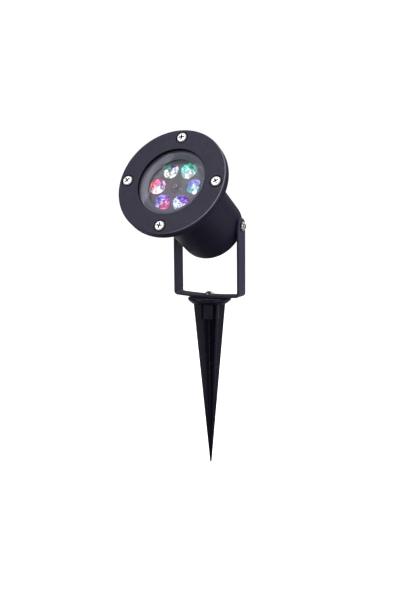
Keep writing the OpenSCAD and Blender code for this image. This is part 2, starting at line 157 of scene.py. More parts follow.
class Shader:
    """The node tree of a material or a world, built from short calls."""

    def __init__(self, name, library="materials", output="Material"):
        self.owner = getattr(bpy.data, library).new(name)
        self.owner.use_nodes = True
        self.tree = self.owner.node_tree
        self.tree.nodes.clear()
        self.output = self.tree.nodes.new("ShaderNodeOutput" + output)

    def node(self, kind, inputs=None, **props):
        node = self.tree.nodes.new("ShaderNode" + kind)
        for key, value in props.items():
            setattr(node, key, value)
        for key, value in (inputs or {}).items():
            if isinstance(value, bpy.types.NodeSocket):
                self.tree.links.new(value, node.inputs[key])
            else:
                node.inputs[key].default_value = value
        return node

    def first(self, kind, inputs=None, **props):
        """Adds a node and gives its first output."""
        return self.node(kind, inputs, **props).outputs[0]

    def coords(self, scale=1000.0, in_head=False):
        """Object coordinates, in mm unless scaled otherwise, in the head's frame if asked."""
        point = self.node("TexCoord").outputs["Object"]
        if in_head:
            to_head = HEAD.inverted()
            point = self.first("Mapping", {
                "Vector": point, "Location": to_head.translation, "Rotation": to_head.to_euler(),
            }, vector_type="POINT")
        return self.first("VectorMath", {0: point, "Scale": scale}, operation="SCALE")

    def head_xyz(self):
        return self.node("SeparateXYZ", {0: self.coords(in_head=True)}).outputs

    def stretch(self, point, scale):
        return self.first("Mapping", {"Vector": point, "Scale": scale}, vector_type="POINT")

    def noise(self, point, scale, detail=2.0, rough=0.5, output="Fac"):
        inputs = {"Vector": point, "Scale": scale, "Detail": detail, "Roughness": rough}
        return self.node("TexNoise", inputs).outputs[output]

    def ramp(self, value, span=(0.3, 0.7), to=(0.0, 1.0), **props):
        """Maps the span of a value to another one, clamped."""
        return self.first("MapRange", {
            "Value": value, "From Min": span[0], "From Max": span[1],
            "To Min": to[0], "To Max": to[1],
        }, clamp=True, **props)

    def ease(self, value, span, to=(0.0, 1.0)):
        """A ramp with soft ends."""
        return self.ramp(value, span, to, interpolation_type="SMOOTHSTEP")

    def math(self, operation, left, right=0.0):
        return self.first("Math", {0: left, 1: right}, operation=operation)

    def times(self, left, right):
        return self.math("MULTIPLY", left, right)

    def radius(self, x, y):
        return self.math("SQRT", self.math("ADD", self.times(x, x), self.times(y, y)))

    def mix(self, factor, start, end):
        return self.node("Mix", {0: factor, 6: start, 7: end}, data_type="RGBA").outputs[2]

    def tone(self, value, color, levels, span=(0.3, 0.7), to=(0.0, 1.0)):
        """A colour that drifts between two levels of brightness."""
        factor = self.ramp(value, span, to)
        return self.mix(factor, rgba(color, levels[0]), rgba(color, levels[1]))

    def bump(self, height, distance, strength=1.0, normal=None):
        """Bump whose distance is in mm."""
        inputs = {"Height": height, "Distance": distance * MM, "Strength": strength}
        if normal is not None:
            inputs["Normal"] = normal
        return self.first("Bump", inputs)

    def occlusion(self, distance):
        return self.node("AmbientOcclusion", {"Distance": distance * MM}, samples=8).outputs["AO"]

    def blend(self, factor, start, end):
        return self.first("MixShader", {0: factor, 1: start, 2: end})

    def finish(self, surface):
        self.tree.links.new(surface, self.output.inputs["Surface"])
        return self.owner

    def principled(self, color, rough, **more):
        """Ends the tree in a principled surface; underscores in names stand for spaces."""
        inputs = {"Base Color": color, "Roughness": rough}
        inputs.update({key.replace("_", " "): value for key, value in more.items()})
        return self.finish(self.first("BsdfPrincipled", inputs))


# ---------------------------------------------------------------- materials
def bezel_painted_light(shader, point, color, spec):
    """Painted highlight along the bezel's front edge on one side, and painted shade that darkens the opening's
    wall to near black.
    """
    pale = (0.19, 0.18, 0.21, 1)
    black = (0.0006, 0.0006, 0.0008, 1)
    lit_side = (0.94, -0.342)     # direction of the side where the painted highlight is brightest, in the head's X and Y
    x, y, z = shader.head_xyz()
    radius = shader.radius(x, y)
    # Painted highlight: a pale band on the front fillet, strongest towards the lit side and broken up by noise
    edge = shader.times(
        shader.ease(radius, span=(bezel_r - 1.0, bezel_r - 0.6)),
        shader.ease(z, span=(front_z - 0.85, front_z - 0.45)))
    along = shader.math("ADD", shader.times(x, lit_side[0]), shader.times(y, lit_side[1]))
    facing = shader.math("DIVIDE", along, radius)
    edge = shader.times(edge, shader.ease(facing, span=(-0.1, 0.95)))
    patches = shader.noise(point, scale=0.3, detail=3.0)
    edge = shader.times(edge, shader.ramp(patches, to=(0.75, 1.0)))
    color = shader.mix(edge, color, pale)
    # Painted shade: the opening's wall goes near black and loses most of its specular
    wall = shader.times(
        shader.ease(radius, span=(OPENING_R + 0.5, OPENING_R + 0.15)),
        shader.ease(z, span=(front_z - 0.15, front_z - 0.5)))
    color = shader.mix(wall, color, black)
    wall_shade_dulling = 0.9
    dulled = shader.math("SUBTRACT", 1.0, shader.times(wall, wall_shade_dulling))
    return color, shader.times(dulled, spec)


def powder(name, color, rough, grain, depth, spec, speck, edged=False):
    """Powder coat: orange-peel grain, pale specks, slow tone drift, faint handling marks, and on the bezel a
    painted edge highlight and painted wall shade.
    """
    shader = Shader(name)
    point = shader.coords()
    slow = shader.noise(point, scale=0.035, detail=3.0)
    fine = shader.noise(point, scale=grain, detail=3.0, rough=0.6)
    peel = shader.noise(point, scale=grain * 0.3)
    paint = shader.tone(slow, color, levels=(0.9, 1.1))
    specks = shader.ramp(fine, span=(0.5, 0.8), to=(0.0, speck))
    paint = shader.mix(specks, paint, rgba(color, level=1.9))
    # On the bezel: a painted highlight along the front edge and painted shade on the opening's wall
    if edged:
        paint, spec = bezel_painted_light(shader, point, paint, spec)
    marks = shader.noise(point, scale=0.22, detail=6.0, rough=0.72)
    roughness = shader.ramp(marks, span=(0.35, 0.7), to=(rough - 0.06, rough + 0.06))
    normal = shader.bump(fine, depth)
    normal = shader.bump(peel, distance=depth * 1.2, strength=0.6, normal=normal)
    return shader.principled(paint, roughness, Specular_IOR_Level=spec, Normal=normal)


def plastic(name, color, rough, spec=0.5, grain=1.2, depth=0.01, flow=0.0):
    """Moulded plastic: tone drift, flow streaks along Z if asked, low waves and fine grain."""
    shader = Shader(name)
    point = shader.coords()
    slow = shader.noise(point, scale=0.05, detail=4.0, rough=0.6)
    tint = shader.tone(slow, color, levels=(0.88, 1.14))
    if flow:
        streaks = shader.noise(shader.stretch(point, (1, 1, 0.06)), scale=0.5, detail=4.0)
        factor = shader.ramp(streaks, span=(0.45, 0.8), to=(0.0, flow))
        tint = shader.mix(factor, tint, rgba(color, level=2.2))
    sheen = shader.noise(point, scale=0.25, detail=4.0, rough=0.6)
    roughness = shader.ramp(sheen, to=(rough - 0.06, rough + 0.06))
    normal = shader.bump(shader.noise(point, scale=grain, detail=3.0), depth)
    waves = shader.noise(point, scale=0.09)
    normal = shader.bump(waves, distance=0.06, strength=0.5, normal=normal)
    return shader.principled(tint, roughness, Specular_IOR_Level=spec, Normal=normal)


def metal(name, color, rough, scratch=0.0, dirt=0.12, recess=0.0):
    """Plated or ground metal: uneven polish, and scratches or painted shade in the recesses if asked."""
    recess_shade = (0.012, 0.012, 0.014, 1)
    shader = Shader(name)
    point = shader.coords()
    patches = shader.noise(point, scale=0.8, detail=5.0, rough=0.65)
    tint = shader.tone(patches, color, levels=(1.0, 0.55), span=(0.35, 0.75), to=(0.0, dirt))
    polish = shader.noise(point, scale=2.5, detail=4.0)
    roughness = shader.ramp(polish, to=(max(0.02, rough - 0.06), rough + 0.08))
    more = {"Metallic": 1.0}
    if scratch:
        lines = shader.noise(shader.stretch(point, (6.0, 0.4, 6.0)), scale=3.0)
        more["Normal"] = shader.bump(lines, scratch)
    # Painted shade: ambient occlusion darkens the recesses towards near black
    if recess:
        hollow = shader.ramp(shader.occlusion(1.6), span=(0.55, 0.85), to=(1.0, 0.0))
        tint = shader.mix(shader.times(hollow, recess), tint, recess_shade)
    return shader.principled(tint, roughness, **more)


def chrome(name, color=(0.78, 0.76, 0.72), rough=0.1):
    """Bright nickel plate: polished, faintly tarnished in patches, with painted shade in its recesses."""
    tarnish = (color[0] * 0.62, color[1] * 0.58, color[2] * 0.48, 1)
    recess_shade = (0.012, 0.011, 0.010, 1)
    shader = Shader(name)
    point = shader.coords()
    patches = shader.noise(point, scale=0.9, detail=5.0, rough=0.65)
    factor = shader.ramp(patches, span=(0.4, 0.75), to=(0.0, 0.35))
    tint = shader.mix(factor, rgba(color), tarnish)
    # Painted shade: ambient occlusion darkens the recesses
    hollow = shader.ramp(shader.occlusion(1.4), span=(0.5, 0.8), to=(0.92, 0.0))
    tint = shader.mix(hollow, tint, recess_shade)
    polish = shader.noise(point, scale=2.2, detail=4.0)
    roughness = shader.ramp(polish, to=(rough * 0.5, rough * 1.6))
    normal = shader.bump(shader.noise(point, scale=5.0), distance=0.003)
    return shader.principled(tint, roughness, Metallic=1.0, Normal=normal)


def rubber(name, color, rough=0.75):
    shader = Shader(name)
    point = shader.coords()
    patches = shader.noise(point, scale=1.5, detail=5.0, rough=0.7)
    tint = shader.tone(patches, color, levels=(0.8, 1.5), span=(0.3, 0.75))
    normal = shader.bump(shader.noise(point, scale=4.0, detail=3.0), distance=0.02)
    roughness = shader.ramp(patches, to=(rough - 0.08, rough + 0.08))
    return shader.principled(tint, roughness, Specular_IOR_Level=0.35, Normal=normal)


def glass(name, ior, gloss, tint, reflection, rough, haze, span, amount, dust):
    """Thin clear glass: what lies behind, a Fresnel reflection, and a noise of dust."""
    shader = Shader(name)
    point = shader.coords()
    mirror = shader.times(shader.first("Fresnel", {"IOR": ior}), gloss)
    through = shader.first("BsdfTransparent", {"Color": rgba(tint)})
    glossy = shader.first("BsdfGlossy", {"Color": rgba(reflection), "Roughness": rough})
    clean = shader.blend(mirror, through, glossy)
    cover = shader.ramp(shader.noise(point, **haze), span, amount)
    matt = shader.first("BsdfDiffuse", {"Color": rgba(dust)})
    return shader.finish(shader.blend(cover, clean, matt))


def crystal(name):
    """Cut crystal lit from behind: each facet glows in its own colour, broken into shards."""
    body = (0.03, 0.03, 0.035, 1)
    white = (0.95, 0.97, 1.0, 1)
    dark = (0.015, 0.012, 0.03, 1)
    warp_reach, white_share = 2.4, 0.75
    shader = Shader(name)
    point = shader.coords()
    glow = shader.node("Attribute", attribute_name="glow").outputs["Color"]
    warp = shader.noise(point, scale=0.35, output="Color")
    warp = shader.first("VectorMath", {0: warp, "Scale": warp_reach}, operation="SCALE")
    warped = shader.first("VectorMath", {0: point, 1: warp}, operation="ADD")
    shards = {"Vector": warped, "Scale": 0.52, "Randomness": 1.0}
    cell = shader.node("TexVoronoi", shards, feature="F1").outputs["Color"]
    chance = shader.node("SeparateColor", {0: cell}).outputs
    strength = shader.ramp(chance[0], span=(0.0, 1.0), to=(0.7, 1.6))
    brightness = shader.first("RGBToBW", {0: glow})
    whitened = shader.times(
        shader.ramp(chance[1], span=(0.74, 0.80)),
        shader.ramp(brightness, span=(0.25, 0.8), to=(0.05, 1.0)))
    darkened = shader.times(
        shader.ramp(chance[1], span=(0.20, 0.14)),
        shader.ramp(brightness, span=(0.2, 0.9), to=(0.85, 0.25)))
    light = shader.mix(shader.times(whitened, white_share), glow, white)
    light = shader.mix(darkened, light, dark)
    return shader.principled(
        body, rough=0.08, Specular_IOR_Level=0.5, IOR=1.55, Emission_Color=light,
        Emission_Strength=strength, Coat_Weight=0.3, Coat_Roughness=0.03)


# Coloured light painted on the wheel round each crystal, by the crystal's angle in degrees
CRYSTAL_LIGHT_SPILL = [
    (120, (0.032, 0.052, 0.040, 1)), (60, (0.024, 0.070, 0.052, 1)),
    (0, (0.030, 0.052, 0.066, 1)), (300, (0.044, 0.040, 0.085, 1)),
    (240, (0.062, 0.030, 0.070, 1)), (180, (0.105, 0.020, 0.036, 1)),
]


def lit_plate(name, color):
    """Satin plastic of the wheel's disc, with a painted glow as if lit faintly from behind and painted coloured
    light spilled round each crystal.
    """
    shader = Shader(name)
    point = shader.coords()
    slow = shader.noise(point, scale=0.08, detail=4.0, rough=0.6)
    tint = shader.tone(slow, color, levels=(0.9, 1.12))
    x, y, _ = shader.head_xyz()
    # Painted light: a faint even glow, with each crystal's coloured light spilled round it
    glow = (0.044, 0.039, 0.041, 1)
    for degrees, spilled_light in CRYSTAL_LIGHT_SPILL:
        angle = math.radians(degrees)
        distance = shader.radius(
            shader.math("SUBTRACT", x, LENS_CIRCLE * math.cos(angle)),
            shader.math("SUBTRACT", y, LENS_CIRCLE * math.sin(angle)))
        glow = shader.mix(shader.ease(distance, span=(13.0, 7.5), to=(0.0, 0.55)), glow, spilled_light)
    normal = shader.bump(shader.noise(point, scale=1.2, detail=3.0), distance=0.006)
    sheen = shader.ramp(shader.noise(point, scale=0.3, detail=4.0), to=(0.44, 0.56))
    return shader.principled(
        tint, sheen, Specular_IOR_Level=0.3, Normal=normal,
        Emission_Color=glow, Emission_Strength=1.0)


LOOKS = [
    ("bezel_paint", powder, dict(color=(0.0205, 0.0182, 0.0370), rough=0.55, grain=2.4,
                                 depth=0.022, spec=0.22, speck=0.3, edged=True)),
    ("housing_paint", powder, dict(color=(0.0125, 0.0106, 0.0235), rough=0.42, grain=2.2,
                                   depth=0.014, spec=0.17, speck=0.3)),
    ("bracket_paint", powder, dict(color=(0.0330, 0.0300, 0.0570), rough=0.42, grain=2.6,
                                   depth=0.012, spec=0.35, speck=0.15)),
    ("spike_plastic", plastic, dict(color=(0.0056, 0.0046, 0.0130), rough=0.22, spec=0.35,
                                    grain=1.0, depth=0.002, flow=0.08)),
    ("stainless_screw", metal, dict(color=(0.78, 0.78, 0.79), rough=0.46, scratch=0.005,
                                    dirt=0.2, recess=0.95)),
    ("bright_screw", chrome, {}),
    ("washer_steel", chrome, dict(color=(0.50, 0.48, 0.42), rough=0.28)),
    ("zinc_screw", metal, dict(color=(0.6, 0.6, 0.62), rough=0.3)),
    ("hub_screw", metal, dict(color=(0.42, 0.32, 0.33), rough=0.45, recess=0.9)),
    ("shaft_steel", metal, dict(color=(0.7, 0.7, 0.7), rough=0.2)),
    ("insert_brass", metal, dict(color=(0.72, 0.55, 0.25), rough=0.3)),
    ("sink_aluminium", metal, dict(color=(0.72, 0.73, 0.75), rough=0.4)),
    ("motor_case", metal, dict(color=(0.6, 0.6, 0.57), rough=0.3)),
    ("glass_clear", glass, dict(
        ior=1.45, gloss=0.12, tint=(0.93, 0.94, 0.97), reflection=(0.9, 0.92, 1), rough=0.04,
        haze=dict(scale=0.05, detail=3.0, rough=0.6), span=(0.35, 0.7), amount=(0.003, 0.010),
        dust=(0.75, 0.74, 0.8))),
    ("collimator_clear", glass, dict(
        ior=1.5, gloss=0.8, tint=(0.9, 0.93, 0.96), reflection=(1, 1, 1), rough=0.02,
        haze=dict(scale=0.6, detail=6.0, rough=0.75), span=(0.5, 0.85), amount=(0.0, 0.015),
        dust=(0.7, 0.7, 0.7))),
    ("trim_grey", plastic, dict(color=(0.148, 0.143, 0.158), rough=0.6, spec=0.12)),
    ("wheel_plastic", lit_plate, dict(color=(0.135, 0.122, 0.128))),
    ("silicone_black", rubber, dict(color=(0.02, 0.02, 0.02))),
    ("rubber_black", rubber, dict(color=(0.015, 0.015, 0.016))),
    ("board_white", plastic, dict(color=(0.7, 0.7, 0.68), rough=0.4)),
    ("led_yellow", plastic, dict(color=(0.8, 0.7, 0.25), rough=0.3)),
    ("board_green", plastic, dict(color=(0.03, 0.16, 0.07), rough=0.3)),
    ("component_black", plastic, dict(color=(0.03, 0.03, 0.035), rough=0.4)),
    ("lead_red", plastic, dict(color=(0.5, 0.03, 0.02), rough=0.4)),
    ("lead_yellow", plastic, dict(color=(0.65, 0.45, 0.04), rough=0.4)),
    ("lead_blue", plastic, dict(color=(0.03, 0.09, 0.4), rough=0.4)),
    ("gland_nylon", plastic, dict(color=(0.018, 0.018, 0.019), rough=0.42, spec=0.4)),
    ("cable_jacket", rubber, dict(color=(0.018, 0.018, 0.018), rough=0.6)),
    ("crystal", crystal, {}),
]
MATERIALS = {name: maker(name, **look) for name, maker, look in LOOKS}

slot_of = {part["node"]: part["material_slot"] for part in frame["record"]["subparts"]}
for name, node in nodes.items():
    node.data.materials.clear()
    node.data.materials.append(MATERIALS[slot_of[name]])


# ---------------------------------------------------------------- outlines
def arc(x, y, radius, start, end, steps):
    """Points of an arc about (x, y), from start to end in degrees."""
    angles = [math.radians(start + (end - start) * i / steps) for i in range(steps + 1)]
    return [(x + radius * math.cos(angle), y + radius * math.sin(angle)) for angle in angles]


def fillet(corners, steps=5):
    """A closed outline of (x, y) or (x, y, radius) corners, rounded where a radius is given."""
    outline = []
    for i, corner in enumerate(corners):
        point = Vector(corner[:2])
        if len(corner) < 3:
            outline.append((point.x, point.y))
            continue
        before = Vector(corners[i - 1][:2]) - point
        after = Vector(corners[(i + 1) % len(corners)][:2]) - point
        before_length, after_length = before.length, after.length
        before, after = before / before_length, after / after_length
        half_angle = math.acos(max(-1, min(1, before.dot(after)))) / 2
        # The arc takes less than half of either side
        run = min(corner[2] / math.tan(half_angle), before_length * 0.49, after_length * 0.49)
        radius = run * math.tan(half_angle)
        centre = point + (before + after).normalized() * (radius / math.sin(half_angle))
        first, last = (point + before * run) - centre, (point + after * run) - centre
        start = math.atan2(first.y, first.x)
        sweep = math.atan2(last.y, last.x) - start
        sweep = (sweep + math.pi) % (2 * math.pi) - math.pi
        for k in range(steps + 1):
            angle = start + sweep * k / steps
            outline.append((centre.x + radius * math.cos(angle),
                            centre.y + radius * math.sin(angle)))
    return outline


def raised(base, outline):
    """Moves (radius, z) points up to a base height; any fillet radius stays."""
    return [(point[0], base + point[1], *point[2:]) for point in outline]


def rod(radius, low, high):
    return [(0, low), (radius, low), (radius, high), (0, high)]


def thread(radius, low, high, pitch, depth):
    """Outline of a threaded shank, from its tip at low up to high."""
    points = [(0, low), (radius - depth * 1.2, low)]
    z = low + pitch * 0.5
    while z + pitch * 0.75 < high:
        points += [(radius, z), (radius, z + pitch * 0.12),
                   (radius - depth, z + pitch * 0.5), (radius - depth, z + pitch * 0.62)]
        z += pitch
    return points + [(radius - depth * 0.5, high - 0.2), (radius - 0.05, high)]


def hexagon(radius, start=0.0):
    angles = [math.radians(start + 60 * i) for i in range(6)]
    return [(radius * math.cos(angle), radius * math.sin(angle)) for angle in angles]


def at_height(outline, z, scale=1.0):
    return [(scale * x, scale * y, z) for x, y in outline]


# ---------------------------------------------------------------- meshes
def turned(profile, segments=128, places=(WORLD,), mesh=None):
    """A closed outline of (radius, z) turned about Z, once at each place."""
    mesh = mesh or bmesh.new()
    angles = [2 * math.pi * k / segments for k in range(segments)]
    for place in places:
        rings = []
        for radius, z in profile:
            if abs(radius) < 1e-7:
                points = [(0, 0, z)]
            else:
                points = [(radius * math.cos(a), radius * math.sin(a), z) for a in angles]
            rings.append([mesh.verts.new(place @ Vector(point)) for point in points])
        for i, ring in enumerate(rings):
            above = rings[(i + 1) % len(rings)]
            if len(ring) == 1 and len(above) == 1:
                continue
            for k in range(segments):
                after = (k + 1) % segments
                corners = ring[:1] if len(ring) == 1 else [ring[k], ring[after]]
                corners = corners + (above[:1] if len(above) == 1 else [above[after], above[k]])
                mesh.faces.new(corners)
    return mesh


def loft(sections, places=(WORLD,), mesh=None):
    """Joins closed loops of equal length and closes both ends, once at each place."""
    mesh = mesh or bmesh.new()
    for place in places:
        loops = [[mesh.verts.new(place @ Vector(point)) for point in loop] for loop in sections]
        count = len(loops[0])
        for low, high in zip(loops, loops[1:]):
            for i in range(count):
                j = (i + 1) % count
                mesh.faces.new((low[i], low[j], high[j], high[i]))
        mesh.faces.new(list(reversed(loops[0])))
        mesh.faces.new(loops[-1])
    return mesh


def prism(outline, low, high, places=(WORLD,), mesh=None):
    return loft([at_height(outline, low), at_height(outline, high)], places, mesh)


def smooth(ob, angle):
    """Smooth shading, but for edges sharper than the angle."""
    for face in ob.data.polygons:
        face.use_smooth = True
    ob.data.set_sharp_from_angle(angle=math.radians(angle))


def make(name, mesh, matrix=HEAD, material=None, angle=32.0):
    """An object from a bmesh in mm that lies in the matrix's frame."""
    bmesh.ops.remove_doubles(mesh, verts=mesh.verts, dist=1e-5)
    bmesh.ops.recalc_face_normals(mesh, faces=mesh.faces)
    data = bpy.data.meshes.new(name)
    mesh.to_mesh(data)
    mesh.free()
    data.transform(Matrix.Scale(MM, 4))
    data.transform(matrix)
    ob = bpy.data.objects.new(name, data)
    bpy.context.scene.collection.objects.link(ob)
    smooth(ob, angle)
    if material:
        data.materials.append(MATERIALS[material])
    return ob


def bake(ob):
    """Applies the object's modifiers to its mesh."""
    depsgraph = bpy.context.evaluated_depsgraph_get()
    depsgraph.update()
    baked = bpy.data.meshes.new_from_object(ob.evaluated_get(depsgraph))
    old = ob.data
    ob.modifiers.clear()
    ob.data = baked
    baked.name = ob.name
    bpy.data.meshes.remove(old)


def combine(ob, mesh, operation="DIFFERENCE", matrix=HEAD):
    """Cuts, joins or intersects the object with a bmesh."""
    tool = make("tool", mesh, matrix)
    modifier = ob.modifiers.new("boolean", "BOOLEAN")
    modifier.operation, modifier.solver, modifier.object = operation, "EXACT", tool
    bake(ob)
    bpy.data.objects.remove(tool)


def soften(ob, width, segments, angle):
    """Rounds every edge sharper than the angle."""
    modifier = ob.modifiers.new("bevel", "BEVEL")
    modifier.width, modifier.segments = width * MM, segments
    modifier.limit_method, modifier.angle_limit = "ANGLE", math.radians(angle)
    modifier.offset_type, modifier.miter_outer = "OFFSET", "MITER_ARC"
    modifier.use_clamp_overlap = True
    bake(ob)


def tidy(ob, angle=30):
    """Clears the slivers and loose points left by a boolean and shades the mesh again."""
    mesh = bmesh.new()
    mesh.from_mesh(ob.data)
    bmesh.ops.dissolve_degenerate(mesh, dist=1e-6, edges=mesh.edges)
    bmesh.ops.remove_doubles(mesh, verts=mesh.verts, dist=2e-7)
    loose = [vertex for vertex in mesh.verts if not vertex.link_faces]
    bmesh.ops.delete(mesh, geom=loose, context="VERTS")
    mesh.to_mesh(ob.data)
    mesh.free()
    smooth(ob, angle)
    modifier = ob.modifiers.new("normals", "WEIGHTED_NORMAL")
    modifier.keep_sharp, modifier.weight = True, 80
    bake(ob)


def mount(ob, body, node):
    """Ties the object to a moving body and hides the CAD node it stands in for."""
    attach(ob, body)
    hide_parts(node)


# ---------------------------------------------------------------- bezel
outline = fillet([
    (OPENING_R, front_z - 1.8, 0.15), (OPENING_R, front_z, 0.8), (bezel_r, front_z, 1.0),
    (bezel_r, bezel_back, 0.25), (38.6, bezel_back, 0.2), (38.6, front_z - 1.8),
], 8)
bezel = make("bezel_ring", turned(outline, 192), HEAD, "bezel_paint")
# The counterbore's mouth flares, so its edge comes out rounded
counterbore = [(0, bezel_back - 1), (2.8, bezel_back - 1), (2.8, COUNTERBORE_Z - 0.05),
               (2.95, COUNTERBORE_Z), (6.1, COUNTERBORE_Z)]
counterbore += arc(6.4, front_z - 0.3, 0.3, 180, 90, 4)
counterbore += [(6.45, front_z + 1), (0, front_z + 1)]
combine(bezel, turned(counterbore, 64, BEZEL_SCREWS))
tidy(bezel)
mount(bezel, "head", "front_bezel")

# ---------------------------------------------------------------- housing
BORE_R, WALL_R = 6.3, 30.4      # hole in the back wall, inside of the side wall
POST_CIRCLE, POST_R = 27.2, 3.4
POST_START = 30                 # angle of the first post, in degrees
BOSS_PLACES = ring_places(3, 19, 90)

outline = fillet([
    (BORE_R, BACK_Z, 0.3), (33.6, BACK_Z, 3.5), (34.96, flange_back, 3.0),
    (bezel_r, flange_back, 0.7), (bezel_r, flange_front, 0.25), (35.1, flange_front, 0.15),
    (35.1, ledge_z), (32, ledge_z), (32, shelf_z, 0.2), (WALL_R, shelf_z),
    (WALL_R, FLOOR_Z, 1.0), (BORE_R, FLOOR_Z),
], 7)
shell = make("housing_shell", turned(outline, 160), HEAD, "housing_paint")

# Posts along the wall, bosses on the floor, and a stub inside each pivot
post = arc(POST_CIRCLE, 0, POST_R, 90, 270, 10) + [(31.6, -3.0), (31.6, 3.0)]
post_turns = [turn_z(POST_START + 120 * i) for i in range(3)]
added = prism(post, shelf_z - 14, shelf_z - 0.001, post_turns)
boss = [(0, FLOOR_Z - 1), (3.4, FLOOR_Z - 1), (3.2, 9), (0, 9)]
turned(boss, 32, BOSS_PLACES, added)
turned([(0, 24), (7.3, 24), (7.5, 24.2), (7.5, 32), (0, 32)], 48, SIDES, added)
combine(shell, added, "UNION")

# Pivot holes with a flat outside, bezel screw holes, pilot holes in posts and bosses
pivot_cut = [(0, 20), (CLEARANCE_R, 20), (CLEARANCE_R, PIVOT_FACE), (8.6, PIVOT_FACE),
             (8.6, 42), (0, 42)]
holes = turned(pivot_cut, 64, SIDES)
turned(rod(CLEARANCE_R, flange_back - 1, flange_front + 1), 40, BEZEL_SCREWS, holes)
post_places = ring_places(3, POST_CIRCLE, POST_START)
turned(rod(PILOT_R, shelf_z - 9, shelf_z + 1), 24, post_places, holes)
turned(rod(PILOT_R, 2, 10), 24, BOSS_PLACES, holes)
combine(shell, holes)
tidy(shell)
mount(shell, "head", "housing")

# ---------------------------------------------------------------- bracket
BOW = 1.4           # rise of the shallow arc under the U
BEND_R = 3.9        # outside of the bend into each arm
EDGE_R = 0.42       # rounding of the strip's edges
bend_x = arm_x - BEND_R
bow_r = (bend_x ** 2 + BOW ** 2) / (2 * BOW)
bow_z = base_z + bow_r
bend_z = bow_z - math.sqrt((bow_r - BEND_R) ** 2 - bend_x ** 2)
bend_start = math.degrees(math.atan2(bend_x, bow_z - bend_z))
arm_top = pivot_z + strip_half


def bent(x, z, outer_r, angles):
    """Centreline stations (x, z, angle) along an arc about (x, z), angles from straight down."""
    radius = outer_r - STRIP / 2
    return [(x + radius * math.sin(math.radians(angle)),
             z - radius * math.cos(math.radians(angle)), angle) for angle in angles]


def half_extent(limit, depth, least):
    """Half the extent of a round end of radius limit, at a depth below its tip."""
    depth = min(depth, limit)
    return math.sqrt(max(least, limit ** 2 - (limit - depth) ** 2))


def strip_section(x, z, angle):
    """Rounded rectangle across the strip, shrinking towards the round top of an arm."""
    depth = arm_top - z if abs(x) > arm_x - STRIP else 99
    half_width = half_extent(strip_half, depth, 1e-6)
    half_thick = STRIP / 2 - EDGE_R + half_extent(EDGE_R, depth, 0.0)
    radius = min(EDGE_R, half_width * 0.9, half_thick * 0.9)
    flat_y, flat_n = half_width - radius, half_thick - radius
    loop = []
    for side_y, side_n, start in ((1, 1, 0), (-1, 1, 90), (-1, -1, 180), (1, -1, 270)):
        loop += arc(side_y * flat_y, side_n * flat_n, radius, start, start + 90, 4)
    # The normal points to the inside of the U
    normal_x, normal_z = -math.sin(math.radians(angle)), math.cos(math.radians(angle))
    return [(x + normal_x * n, y, z + normal_z * n) for y, n in loop]


# Stations up the round top of an arm, as angles about the tilt axis
TOP_ANGLES = (6, 12, 18, 24, 30, 36, 42, 48, 54, 60, 65, 70, 74, 78, 81, 84, 86.5, 88.5)
half_path = bent(0, bow_z, bow_r, [bend_start * i / 14 for i in range(15)])
half_path += bent(bend_x, bend_z, BEND_R,
                  [bend_start + (90 - bend_start) * i / 10 for i in range(1, 11)])
arm_heights = [bend_z + (pivot_z - bend_z) * i / 12 for i in range(1, 13)]
arm_heights += [arm_top - strip_half * (1 - math.sin(math.radians(angle)))
                for angle in TOP_ANGLES]
half_path += [(arm_x - STRIP / 2, z, 90) for z in arm_heights]
path = [(-x, z, -angle) for x, z, angle in reversed(half_path[1:])] + half_path
strip = make("bracket_strip", loft([strip_section(*station) for station in path]),
             WORLD, "bracket_paint", 40)

# Holes through the strip, with eased edges
HOLE_R, HOLE_MOUTH_R = 2.56, 2.75
hole = [(0, -1), (HOLE_MOUTH_R, -1), (HOLE_MOUTH_R, 0.001), (HOLE_R, 0.2),
        (HOLE_R, STRIP - 0.2), (HOLE_MOUTH_R, STRIP + 0.001), (HOLE_MOUTH_R, STRIP + 1),
        (0, STRIP + 1)]
arm_holes = [lift(pivot_z) @ side @ lift(arm_x - STRIP) for side in SIDES]
combine(strip, turned(hole, 48, [lift(base_z), *arm_holes]), matrix=WORLD)
tidy(strip, 40)
mount(strip, "bracket", "bracket")

# ---------------------------------------------------------------- spike
FIN_START = 53.0                # angle of the first fin, in degrees
FIN_T, FIN_R = 2.4, 18.7        # thickness and reach of the fins at their top
TIP_HALF_T, TIP_R = 0.55, 0.8   # half thickness and reach at the tip
BARREL_R, BARREL_L = 9.8, 22.0
FIN_LEVELS = 26

crown = fillet([
    (0, spike_top), (spike_r, spike_top, 1.5), (spike_r, spike_top * 0.5, 2.4),
    (spike_r - 3.7, 0, 0.35), (15.2, 0, 0.3), (15.2, spike_top - 2.4, 0.8), (0, spike_top - 2.4),
], 7)
spike = make("spike_body", turned(crown), WORLD, "spike_plastic")
# Barrel under the crown, with a raised rim round its lower end
barrel = raised(spike_top, [
    (0, -1), (BARREL_R + 0.25, -1), (BARREL_R, 2.6 - BARREL_L, 0.3),
    (BARREL_R + 0.35, 2.2 - BARREL_L, 0.3), (BARREL_R + 0.3, -BARREL_L, 0.8),
    (0, -BARREL_L - 1.6),
])
combine(spike, turned(fillet(barrel, 6), 96), "UNION", WORLD)


